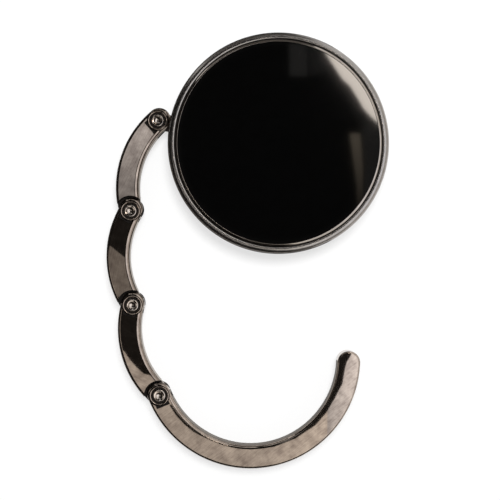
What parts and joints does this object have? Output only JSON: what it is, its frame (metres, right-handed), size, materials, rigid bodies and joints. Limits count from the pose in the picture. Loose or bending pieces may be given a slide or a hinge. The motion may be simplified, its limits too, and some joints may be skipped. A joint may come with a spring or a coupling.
{
  "type": "purse hook",
  "caption": "Folding purse hook: a round gloss-faced disc rests on a table edge, and a swivelling chain of curved riveted links ends in a hook for a bag strap.",
  "frame": {"origin": "on the disc's axis, on the underside of the anti-slip pad", "axes": "+Z out of the disc's face; the chain lies in the XY plane on the -X side and the hook's far end is at -Y"},
  "size_m": [0.0577, 0.089, 0.0095],
  "materials": {
    "disc_gunmetal": "satin plated gunmetal",
    "lip_nickel": "bright nickel plating",
    "face_black": "deep gloss",
    "plate_steel": "bright zinc plated steel",
    "pad_rubber": "matt",
    "chain_gunmetal": "polished gunmetal with a fine brushed grain",
    "rivet_gunmetal": "polished gunmetal",
    "spring_steel": "plain spring steel",
    "magnet_nickel": "nickel plating"
  },
  "bodies": {
    "root": {"cover_disc": "disc_gunmetal", "inlay_tray": "lip_nickel", "inlay_face": "face_black", "hub_block": "disc_gunmetal", "base_plate": "plate_steel", "anti_slip_pad": "pad_rubber", "base_screw_1": "plate_steel", "base_screw_2": "plate_steel", "base_screw_3": "plate_steel", "standoff_1": "plate_steel", "standoff_2": "plate_steel", "standoff_3": "plate_steel", "swivel_barrel": "plate_steel", "keeper_magnet": "magnet_nickel"},
    "swivel": {"swivel_stud": "rivet_gunmetal", "spring_washer": "spring_steel", "retaining_clip": "spring_steel"},
    "link_1": {"link_1": "chain_gunmetal", "rivet_1": "rivet_gunmetal", "friction_washer_1": "spring_steel"},
    "link_2": {"link_2": "chain_gunmetal", "rivet_2": "rivet_gunmetal", "friction_washer_2": "spring_steel"},
    "link_3": {"link_3": "chain_gunmetal", "rivet_3": "rivet_gunmetal", "friction_washer_3": "spring_steel"},
    "hook": {"hook_end": "chain_gunmetal", "rivet_4": "rivet_gunmetal", "friction_washer_4": "spring_steel"}
  },
  "joints": [
    {"name": "swivel", "type": "hinge", "parent": "root", "child": "swivel", "pos_m": [-0.02473, 0.00485, 0.00405], "axis": [-0.9813, 0.1925, 0], "range_deg": [-90, 0]},
    {"name": "pivot_1", "type": "hinge", "parent": "swivel", "child": "link_1", "pos_m": [-0.02473, 0.00485, 0.00405], "axis": [0, 0, 1], "range_deg": [0, 46]},
    {"name": "pivot_2", "type": "hinge", "parent": "link_1", "child": "link_2", "pos_m": [-0.03032, -0.01368, 0.00405], "axis": [0, 0, 1], "range_deg": [0, 23]},
    {"name": "pivot_3", "type": "hinge", "parent": "link_2", "child": "link_3", "pos_m": [-0.02992, -0.03304, 0.00405], "axis": [0, 0, 1], "range_deg": [0, 41]},
    {"name": "pivot_4", "type": "hinge", "parent": "link_3", "child": "hook", "pos_m": [-0.02439, -0.05159, 0.00405], "axis": [0, 0, 1], "range_deg": [0, 33]}
  ]
}
